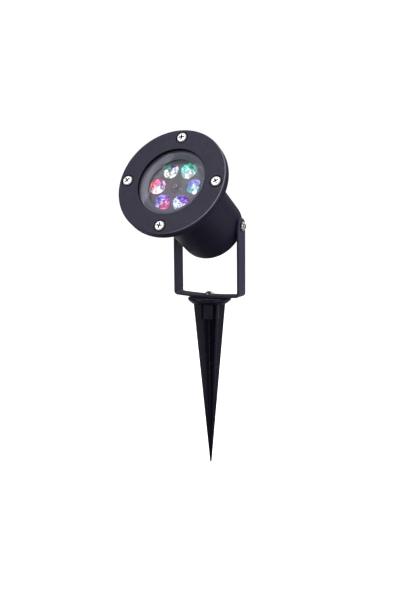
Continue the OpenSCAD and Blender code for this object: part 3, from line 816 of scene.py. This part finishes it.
def fin_section(z):
    """Section of the fins at a height: four blades with round noses and filleted roots."""
    reach = TIP_R + (FIN_R - TIP_R) * (z - tip_z) / (spike_top - 0.2 - tip_z)
    half = TIP_HALF_T + (FIN_T / 2 - TIP_HALF_T) * min(1.0, (z - tip_z) / 120.0)
    half = min(half, reach * 0.62)
    nose = min(0.7, half * 0.75)
    root = min(1.0, (reach - half) * 0.3)
    flank_x = max(reach * 0.55, half + root * 1.05)
    nose_x, nose_y = reach - nose, half * 0.94 - nose
    blade = [(flank_x, -half)]
    blade += arc(nose_x, -nose_y, nose, -90, 0, 3) + arc(nose_x, nose_y, nose, 0, 90, 3)
    blade += [(flank_x, half)]
    for degrees in (5, 30, 60, 85):
        angle = math.radians(degrees)
        blade += [(half + root * (1 - math.sin(angle)), half + root * (1 - math.cos(angle)))]
    section = []
    for quarter in range(4):
        angle = math.radians(FIN_START + 90 * quarter)
        cos, sin = math.cos(angle), math.sin(angle)
        section += [(cos * x - sin * y, sin * x + cos * y, z) for x, y in blade]
    return section


fin_span = spike_top - 2.9 - tip_z
levels = [tip_z + 0.02 + fin_span * (i / FIN_LEVELS) ** 1.15 for i in range(FIN_LEVELS + 1)]
combine(spike, loft([fin_section(z) for z in levels]), "UNION", WORLD)
socket = raised(spike_top, [(0, -14), (2.8, -14), (2.8, -13.6), (4, -13.6), (4, -1.6),
                            (2.8, -1.6), (2.8, 1), (0, 1)])
combine(spike, turned(socket, 48), matrix=WORLD)
tidy(spike, 34)
mount(spike, "spike", "ground_spike")

# ---------------------------------------------------------------- screws and washers
SCREW_R = 2.5
HEX_R = 1.75
SPLIT_T, PLAIN_T = 1.2, 1
plain_z = base_z + STRIP + 0.1      # underside of the plain washer


def screws(name, profile, recess, places, material, angle, matrix=HEAD, recess_turn=0):
    """Turned screws with a lofted recess, one at each place."""
    ob = make(name, turned(profile, 64, places), matrix, material)
    recess_places = [place @ turn_z(recess_turn) for place in places]
    combine(ob, loft(recess, recess_places), matrix=matrix)
    tidy(ob, angle)
    return ob


def button_screws(name, places, matrix, length):
    """Hex socket screws with a button head, its underside at 0."""
    profile = thread(SCREW_R, -length, 0, 0.8, 0.4) + [(4.55, 0), (4.66, 0.1), (4.64, 0.22)]
    profile += reversed(arc(0, -SCREW_R * 1.1, SCREW_R * 2.2, 80, 35, 9))
    profile += [(0, SCREW_R * 1.09)]
    # Height and scale of the socket's sections
    stations = ((0.75, 0.84), (1.05, 1.0), (2.35, 1.0), (3.6, 1.5))
    recess = [at_height(hexagon(HEX_R), z, scale) for z, scale in stations]
    return screws(name, profile, recess, places, "bright_screw", 30, matrix)


def pan_profile(shank, length, head, height, pitch=0.8):
    """Outline of a pan-head screw, the head's underside at 0."""
    profile = thread(shank, -length, 0, pitch, pitch * 0.45)
    profile += [(head - 0.35, 0), (head - 0.05, 0.25)]
    profile += reversed(arc(head - height * 0.55, height * 0.45, height * 0.55, 84, 0, 9))
    return profile + [(0, height * 1.03)]


def cross_section(arm, width, z):
    half = width / 2
    quarter = [(half, -half), (arm, -half * 0.9), (arm, half * 0.9)]
    outline = []
    for _ in range(4):
        outline += quarter
        quarter = [(-y, x) for x, y in quarter]
    return at_height(outline, z)


def cross_recess(arm, width, top, bottom):
    """Sections of a cross recess that tapers downwards."""
    return [
        cross_section(arm * 0.36, width * 0.7, bottom),
        cross_section(arm * 0.8, width * 0.9, bottom + (top - bottom) * 0.55),
        cross_section(arm, width, top),
        cross_section(arm * 1.05, width * 1.05, top + 1.2),
    ]


def split_ring(inner, outer, thick, gap=10.0, skew=0.16, steps=44):
    """Spring washer: a ring with a slanting cut, gap in degrees and skew in radians."""
    sections = []
    for z, offset in ((0.0, 0), (thick, skew)):
        angles = [math.radians(gap / 2 + (360 - gap) * i / steps) + offset
                  for i in range(steps + 1)]
        rim = [(outer * math.cos(a), outer * math.sin(a), z) for a in angles]
        bore = [(inner * math.cos(a), inner * math.sin(a), z) for a in reversed(angles)]
        sections.append(rim + bore)
    return sections


places = [lift(plain_z + PLAIN_T) @ turn_z(12)]
mount(button_screws("base_socket_screw", places, WORLD, length=14),
      "spike", "base_screw")
places = [side @ lift(arm_x + GAP + SPLIT_T) @ turn_z(17 + 30 * i)
          for i, side in enumerate(SIDES)]
mount(button_screws("tilt_socket_screws", places, HEAD, length=12),
      "head", "pivot_screws")

places = [side @ lift(arm_x + GAP) @ turn_z(200) for side in SIDES]
ring = split_ring(inner=HOLE_R, outer=4.5, thick=SPLIT_T)
washers = make("tilt_split_washers", loft(ring, places), HEAD, "washer_steel")
soften(washers, width=0.16, segments=2, angle=40)
tidy(washers, 35)
mount(washers, "head", "pivot_spring_washers")

outline = fillet([(2.6, plain_z, 0.08), (5.2, plain_z, 0.2), (5.2, plain_z + PLAIN_T, 0.3),
                  (2.6, plain_z + PLAIN_T, 0.12)], 4)
washer = make("base_plain_washer", turned(outline, 72), WORLD, "washer_steel")
mount(washer, "spike", "base_flat_washer")

# Rubber washers fill the gap between the housing and the arms
arm_inside = arm_x - STRIP - GAP
outline = fillet([(2.6, PIVOT_FACE, 0.1), (6.4, PIVOT_FACE, 0.2), (6.4, arm_inside, 0.25),
                  (2.6, arm_inside, 0.1)], 4)
washers = make("tilt_rubber_washers", turned(outline, 64, SIDES), HEAD, "rubber_black")
mount(washers, "head", "pivot_rubber_washers")

HEAD_TURNS = (35, 4, 48, -4)    # how far each bezel screw is turned, in degrees
places = [place @ lift(COUNTERBORE_Z) @ turn_z(turn)
          for place, turn in zip(BEZEL_SCREWS, HEAD_TURNS)]
ob = screws("bezel_cross_screws", pan_profile(SCREW_R, length=6.0, head=5.1, height=2.7),
            cross_recess(arm=3.1, width=1.5, top=2.8, bottom=0.4),
            places, "stainless_screw", 28)
mount(ob, "head", "bezel_screws")

# ---------------------------------------------------------------- glass and trim
glass_back, glass_front = (corner.z for corner in head_span("glass_lens"))
GLASS_R = 37.35
outline = fillet([(0, glass_back), (GLASS_R, glass_back, 0.35), (GLASS_R, glass_front, 0.35),
                  (0, glass_front)], 3)
ob = make("front_glass", turned(outline), HEAD, "glass_clear")
mount(ob, "head", "glass_lens")

# Sloping ring inside the opening, its lip over the housing's ledge
outline = fillet(raised(ledge_z, [
    (27, -2.6, 0.1), (27, -1.8, 0.25), (30.5, 0.9, 0.3), (35, 0.9, 0.15), (35, 0), (31.9, 0),
    (31.9, -1, 0.2), (29.4, -1.6, 0.3), (28.4, -2.6, 0.1),
]), 5)
ob = make("trim_bevel", turned(outline, 160), HEAD, "trim_grey")
mount(ob, "head", "trim_ring")

# ---------------------------------------------------------------- lens wheel
HUB_TOP = 2.8       # above the disc's back face
outline = fillet(raised(wheel_back, [
    (0, -6), (4.2, -6, 0.4), (4.2, 0, 0.5), (28.9, 0, 0.3), (28.9, 2, 0.4), (6.2, 2, 0.3),
    (5.2, 2.45, 0.3), (4.2, 2.45, 0.2), (3.9, HUB_TOP, 0.2), (0, HUB_TOP),
]), 4)
wheel = make("lens_carrier", turned(outline, 144), HEAD, "wheel_plastic")
places = [place @ turn_z(0.9) for place in LENS_PLACES]
holes = turned(rod(LENS_R + 0.3, wheel_back - 1, wheel_back + 4), 60, places)
shaft_bore = [(0, -7), (2.02, -7), (2.02, 1.82), (1.16, 1.83), (1.16, 4), (0, 4)]
turned(raised(wheel_back, shaft_bore), 40, mesh=holes)
combine(wheel, holes)
# A raised rim round each crystal
rim = raised(wheel_back, [(LENS_R + 0.05, 0.63), (LENS_R + 0.9, 0.63), (LENS_R + 0.85, 2.25),
                          (LENS_R + 0.6, 2.32), (LENS_R + 0.05, 2.3)])
places = [place @ turn_z(1.7) for place in LENS_PLACES]
combine(wheel, turned(rim, 60, places), "UNION")
tidy(wheel, 32)
mount(wheel, "wheel", "lens_wheel")

ob = screws("hub_screw", pan_profile(1.0, length=6.0, head=2.3, height=1.4, pitch=0.45),
            cross_recess(arm=1.4, width=0.8, top=1.5, bottom=0.2),
            [lift(wheel_back + HUB_TOP)], "hub_screw", 28, recess_turn=20)
mount(ob, "wheel", "wheel_screw")

# ---------------------------------------------------------------- crystals
WHITE = (1.0, 1.0, 1.0)
# By a crystal's angle: (x, y, colour) of the light on its face, x and y in shares of its radius
GLOW = {
    120: [(-0.55, 0.40, (0.02, 0.26, 0.09)), (-0.62, -0.05, (0.03, 0.20, 0.10)),
          (0.25, 0.60, (0.06, 0.04, 0.13)), (0.05, 0.20, (0.16, 0.16, 0.26)),
          (-0.25, -0.45, (0.92, 0.98, 0.92)), (0.25, -0.35, WHITE),
          (0.65, 0.05, (0.75, 0.80, 0.85)), (0.1, -0.8, (0.85, 0.75, 0.70))],
    60: [(0.15, 0.70, (0.02, 0.36, 0.16)), (0.35, 0.25, (0.03, 0.45, 0.26)),
         (-0.35, 0.30, (0.10, 0.62, 0.50)), (-0.60, -0.15, (0.16, 0.66, 0.66)),
         (0.0, -0.1, (0.35, 0.80, 0.72)), (-0.25, -0.55, WHITE),
         (0.30, -0.45, (0.95, 1.0, 0.97)), (0.7, -0.15, (0.18, 0.50, 0.42))],
    0: [(-0.10, 0.60, (0.22, 0.24, 0.78)), (0.45, 0.40, (0.35, 0.30, 0.75)),
        (-0.55, 0.10, (0.20, 0.24, 0.66)), (0.05, 0.05, (0.72, 0.78, 1.0)),
        (0.6, -0.1, (0.30, 0.60, 0.72)), (-0.3, -0.45, (0.12, 0.40, 0.42)),
        (0.25, -0.55, (0.22, 0.72, 0.55)), (0.1, -0.85, (0.8, 0.95, 0.9))],
    300: [(0.30, 0.55, (0.20, 0.07, 0.62)), (0.62, 0.10, (0.34, 0.09, 0.66)),
          (-0.15, 0.45, (0.16, 0.08, 0.50)), (-0.60, 0.0, (0.66, 0.80, 0.90)),
          (-0.10, -0.05, (0.55, 0.48, 0.88)), (-0.40, -0.50, (0.85, 0.92, 0.98)),
          (0.20, -0.45, (1.0, 0.82, 0.95)), (-0.2, -0.85, (0.30, 0.55, 0.66))],
    240: [(-0.45, 0.45, (0.20, 0.18, 0.74)), (0.05, 0.65, (0.30, 0.24, 0.78)),
          (-0.60, -0.05, (0.16, 0.10, 0.50)), (0.55, 0.35, (0.42, 0.14, 0.58)),
          (0.05, 0.05, (0.66, 0.38, 0.80)), (0.50, -0.20, (0.86, 0.16, 0.44)),
          (0.10, -0.55, (0.90, 0.20, 0.42)), (-0.35, -0.5, (0.55, 0.50, 0.80))],
    180: [(-0.60, 0.25, (0.85, 0.05, 0.08)), (-0.35, 0.65, (0.80, 0.09, 0.14)),
          (-0.65, -0.20, (0.72, 0.10, 0.14)), (0.20, 0.45, (0.80, 0.12, 0.45)),
          (0.0, 0.0, (0.95, 0.42, 0.55)), (0.55, 0.10, (0.85, 0.55, 0.85)),
          (0.30, -0.40, (1.0, 0.90, 0.95)), (-0.20, -0.60, (1.0, 0.82, 0.80))],
}
# Rings of gem corners, from girdle to table: count, radius, its scatter, height, its scatter
GEM_RINGS = [
    (11, LENS_R, 0.0, 0.1, 0.0), (11, LENS_R, 0.0, 2.5, 0.5), (9, 6.9, 0.35, 5.3, 0.5),
    (7, 4.6, 0.7, 7.2, 0.4), (4, 1.9, 0.6, 8.1, 0.15),
]
VIEW_SLOPE = (0.52, -0.38)      # shift of the colours in x and y per mm of height
MIDDLE = 3.5                    # height at which the colours are not shifted
FACET_LEVELS = (0.5, 0.8, 0.95, 1.1, 1.1, 1.3, 1.5)
STEEP, DIM_CHANCE, DIM_LEVEL = 0.25, 0.45, 0.2      # some steep facets are dimmed
SPREAD, JITTER = 1.1, 0.12      # scale and scatter of where a facet reads its colour
NEIGHBOUR = 0.25                # share of the second nearest colour
draw = random.Random(11)


def gem_points():
    points = []
    for count, radius, radius_scatter, height, height_scatter in GEM_RINGS:
        start = draw.random()
        for i in range(count):
            angle = 2 * math.pi * (i + start + 0.5 * (draw.random() - 0.5)) / count
            reach = radius + radius_scatter * (draw.random() - 0.5) * 2
            z = wheel_back + height + height_scatter * (draw.random() - 0.5) * 2
            points.append(Vector((reach * math.cos(angle), reach * math.sin(angle), z)))
    return points


def facet_color(centre, normal, glows):
    """The nearest colour of the crystal, lighter or darker by chance."""
    level = draw.choice(FACET_LEVELS)
    if abs(normal.z) < STEEP and draw.random() < DIM_CHANCE:
        level *= DIM_LEVEL
    height = centre.z - wheel_back - MIDDLE
    x, y = ((centre[i] - VIEW_SLOPE[i] * height) / LENS_R * SPREAD
            + JITTER * (draw.random() - 0.5) for i in (0, 1))
    near = sorted(((x - glow_x) ** 2 + (y - glow_y) ** 2, color)
                  for glow_x, glow_y, color in glows)
    share = NEIGHBOUR * near[0][0] / (near[0][0] + near[1][0] + 1e-6)
    return (Vector(near[0][1]) * (1 - share) + Vector(near[1][1]) * share) * level


mesh = bmesh.new()
layer = mesh.loops.layers.float_color.new("glow")
for i, place in enumerate(LENS_PLACES):
    middle = place.translation
    corners = [mesh.verts.new(middle + point) for point in gem_points()]
    hull = bmesh.ops.convex_hull(mesh, input=corners, use_existing_faces=False)
    inside = [item for item in hull["geom_interior"] if isinstance(item, bmesh.types.BMVert)]
    bmesh.ops.delete(mesh, geom=inside, context="VERTS")
    bmesh.ops.recalc_face_normals(mesh, faces=mesh.faces)
    for face in mesh.faces:
        centre = face.calc_center_median() - middle
        # Leave the facets of the other crystals alone
        if math.hypot(centre.x, centre.y) > LENS_R + 0.5:
            continue
        color = facet_color(centre, face.normal, GLOW[60 * i])
        for loop in face.loops:
            loop[layer] = (*color, 1.0)
gems = make("cut_crystals", mesh, HEAD, "crystal", 4)
mount(gems, "wheel", "crystal_lenses")

# ---------------------------------------------------------------- cable entry
HEX_BODY_R = 9.6


def chamfered_hex(name, low, high, chamfer):
    """A hexagonal prism with turned chamfers at both ends, heights from the back wall."""
    low, high = BACK_Z + low, BACK_Z + high
    ob = make(name, prism(hexagon(HEX_BODY_R, 30), low, high), HEAD, "gland_nylon")
    radius = HEX_BODY_R - 0.02
    profile = [(0, low - 0.01), (radius - chamfer, low - 0.01), (radius, low + chamfer * 0.6),
               (radius, high - chamfer * 0.6), (radius - chamfer, high + 0.01), (0, high + 0.01)]
    combine(ob, turned(profile, 96), "INTERSECT")
    return ob


# All heights below are measured from the back wall
gland = chamfered_hex("gland_hex_body", -4.5, 0, chamfer=0.9)
neck = thread(7.2, -11.5, -4.0, 1.5, 0.5) + [(7.1, -1.0), (6.2, -0.8)]
neck += [(6.2 - (0.45 if i % 2 else 0.0), 0.2 + 0.75 * i) for i in range(10)]
neck += [(5.9, 8), (0, 8)]
combine(gland, turned(raised(BACK_Z, neck), 96), "UNION")
bore = [(0, -13), (5.3, -13), (5.3, -4.8), (3, -4.6), (3, 12), (0, 12)]
combine(gland, turned(raised(BACK_Z, bore), 64))
tidy(gland)
mount(gland, "head", "gland_body")

nut = chamfered_hex("gland_dome_nut", -12.5, -4.6, chamfer=1.1)
dome = [(0, -18), (3.6, -18)] + arc(3.2, -13, 5, 275, 360, 12) + [(8.2, -12), (0, -12)]
combine(nut, turned(raised(BACK_Z, dome), 96), "UNION")
bore = [(0, -20), (3.35, -20), (3.0, -17.4), (3.0, -12.9), (5.4, -12.85), (5.4, -11.6),
        (7.26, -11.5), (7.26, 1), (0, 1)]
groove = [(0, -18.5), (0.75, -18.5), (1.15, -13.6), (0, -13.2)]
cuts = turned(raised(BACK_Z, bore), 64)
turned(raised(BACK_Z, groove), 16, ring_places(12, 9.1, 15), cuts)
combine(nut, cuts)
tidy(nut)
mount(nut, "head", "gland_nut")

lead = [(0, -28), (2.35, -28), (2.6, -27.7), (2.6, -19.2), (2.58, -19.0), (2.6, -18.8),
        (2.6, 9.3), (2.35, 9.6), (0, 9.6)]
ob = make("power_lead", turned(raised(BACK_Z, lead), 40), HEAD, "cable_jacket")
mount(ob, "head", "power_cable")

profile = [(0, -36), (3.9, -36), (4.35, -35.8), (4.6, -35.3), (4.6, -34.2), (4.45, -34.0),
           (4.45, -33.2), (4.6, -33.0), (4.6, -31.2), (4.4, -30.8), (4.0, -30.6)]
for i in range(5):
    # Ribs that narrow towards the lead
    z = -30.2 + i * 0.9
    radius = 3.98 - 0.1 * i
    profile += [(radius - 0.3, z), (radius - 0.3, z + 0.35), (radius, z + 0.45),
                (radius, z + 0.8)]
profile += [(3.35, -25.2), (3.2, -24.6), (2.9, -24.4), (0, -24.4)]
plug = make("lead_plug", turned(raised(BACK_Z, profile), 72), HEAD, "gland_nylon")
# Room for the lead at the front, and a ring-shaped slot in the back end
cuts = turned(raised(BACK_Z, rod(2.62, -28.05, -20)), 40)
slot = [(0.9, -40), (2.9, -40), (2.9, -31), (0.9, -31)]
turned(raised(BACK_Z, slot), 48, mesh=cuts)
combine(plug, cuts)
tidy(plug)
mount(plug, "head", "cable_connector")

# ---------------------------------------------------------------- camera
AZIMUTH, ELEVATION, ROLL = (math.radians(angle) for angle in (26.265, 8.519, -0.532))
TARGET_DROP = 76.876        # of the point looked at, below the tilt axis
DISTANCE, SIDESTEP = 1039.06, -9.338
back = Vector((math.sin(AZIMUTH) * math.cos(ELEVATION),
               -math.cos(AZIMUTH) * math.cos(ELEVATION), math.sin(ELEVATION)))
level_right = Vector((math.cos(AZIMUTH), math.sin(AZIMUTH), 0))
level_up = back.cross(level_right)
right = level_right * math.cos(ROLL) + level_up * math.sin(ROLL)
upward = -level_right * math.sin(ROLL) + level_up * math.cos(ROLL)
target = Vector((0, 0, pivot_z - TARGET_DROP))
camera_data = bpy.data.cameras.new("camera")
camera = bpy.data.objects.new("camera", camera_data)
bpy.context.scene.collection.objects.link(camera)
camera.matrix_world = axes(right, upward, back,
                           (target + back * DISTANCE + right * SIDESTEP) * MM)
camera_data.sensor_width, camera_data.lens = 36.0, 60.71121
camera_data.clip_start, camera_data.clip_end = 0.05, 60.0
bpy.context.scene.camera = camera


# ---------------------------------------------------------------- lights, in metres
def area(name, place, target, size, power, color=(1, 1, 1), glossy=False):
    light = bpy.data.lights.new(name, "AREA")
    light.energy, light.size, light.color = power, size, color
    ob = bpy.data.objects.new(name, light)
    bpy.context.scene.collection.objects.link(ob)
    ob.location = place
    ob.rotation_mode = "QUATERNION"
    ob.rotation_quaternion = (Vector(target) - Vector(place)).to_track_quat("-Z", "Y")
    ob.visible_glossy = glossy


area("key", place=(-0.4, -1.05, 1.45), target=(0, 0, 0.05), size=0.6, power=13.0, glossy=True)
area("rim_right", place=(1.2, 0.1, 1.3), target=(0, 0, 0.05), size=0.6, power=20.0,
     color=(0.93, 0.92, 1.0))
area("low_left", place=(-0.85, 0.25, -0.05), target=(0, 0, 0.08), size=0.5, power=11.5)
area("low_right", place=(1.2, -0.7, -0.1), target=(0, 0, 0.05), size=0.4, power=7.0,
     color=(0.95, 0.93, 1.0))

# ---------------------------------------------------------------- world
# Soft windows that glossy surfaces see: direction, full and faded angle in degrees, level
WINDOWS = [
    ((-0.7, -0.9, 0.55), 10, 26, 1.5), ((0.9, -0.35, 0.35), 8, 20, 1.2),
    ((0.2, 0.9, 0.8), 14, 40, 0.8), ((0.0, -1.0, -0.03), 5, 16, 1.1),
    ((0.87, 0.48, 0.0), 7, 20, 1.6),
]
studio = Shader("studio", "worlds", "World")
direction = studio.node("TexCoord").outputs["Generated"]
height = studio.node("SeparateXYZ", {0: direction}).outputs[2]
# Matt surfaces see a pale tent, brighter overhead; glossy ones see a dark room
tent = studio.ease(height, span=(-0.5, 0.7), to=(0.14, 0.52))
room = studio.ease(height, span=(-0.1, 0.9), to=(0.05, 0.22))
for towards, full, faded, level in WINDOWS:
    inputs = {0: direction, 1: tuple(Vector(towards).normalized())}
    cosine = studio.node("VectorMath", inputs, operation="DOT_PRODUCT").outputs["Value"]
    span = (math.cos(math.radians(faded)), math.cos(math.radians(full)))
    room = studio.math("ADD", room, studio.ease(cosine, span, to=(0.0, level)))
ray = studio.node("LightPath").outputs
glossy_ray = ray["Is Glossy Ray"]
tint = studio.mix(glossy_ray, (1, 1, 1, 1), (0.98, 0.98, 1.0, 1))
strength = studio.first("Mix", {0: glossy_ray, 2: tent, 3: room}, data_type="FLOAT")
soft = studio.first("Background", {"Color": tint, "Strength": strength})
seen = studio.first("Background", {"Color": (1, 1, 1, 1), "Strength": 1.0})
bpy.context.scene.world = studio.finish(studio.blend(ray["Is Camera Ray"], soft, seen))


# ---------------------------------------------------------------- floor
def floor_material():
    """White to the camera, dim to every other ray, dimmest near the spike."""
    shader = Shader("floor_white")
    point = shader.coords(scale=1.0)
    patches = shader.ramp(shader.noise(point, scale=3.0))
    white = shader.mix(patches, (0.80, 0.80, 0.80, 1), (0.82, 0.82, 0.82, 1))
    lit = shader.first("BsdfPrincipled", {
        "Base Color": white, "Roughness": 0.9, "Specular IOR Level": 0.0,
        "Emission Color": (1, 1, 1, 1), "Emission Strength": 0.70,
    })
    distance = shader.node("VectorMath", {0: point}, operation="LENGTH").outputs["Value"]
    grey = shader.mix(shader.ease(distance, span=(0.2, 0.4)),
                      (0.10, 0.10, 0.10, 1), (0.34, 0.34, 0.35, 1))
    dim = shader.first("BsdfDiffuse", {"Color": grey})
    camera_ray = shader.node("LightPath").outputs["Is Camera Ray"]
    return shader.finish(shader.blend(camera_ray, dim, lit))


MATERIALS["floor_white"] = floor_material()
FLOOR_DROP = 0.0006     # below the lowest point of the CAD, in metres
mesh = bmesh.new()
bmesh.ops.create_grid(mesh, x_segments=8, y_segments=8, size=20000)
floor = make("floor", mesh, lift(cad_low.z - FLOOR_DROP), "floor_white")

# ---------------------------------------------------------------- render settings
scene = bpy.context.scene
scene.view_settings.view_transform = "Standard"
scene.view_settings.look = "None"
scene.cycles.use_denoising = True
scene.cycles.max_bounces = 8
scene.cycles.transparent_max_bounces = 12
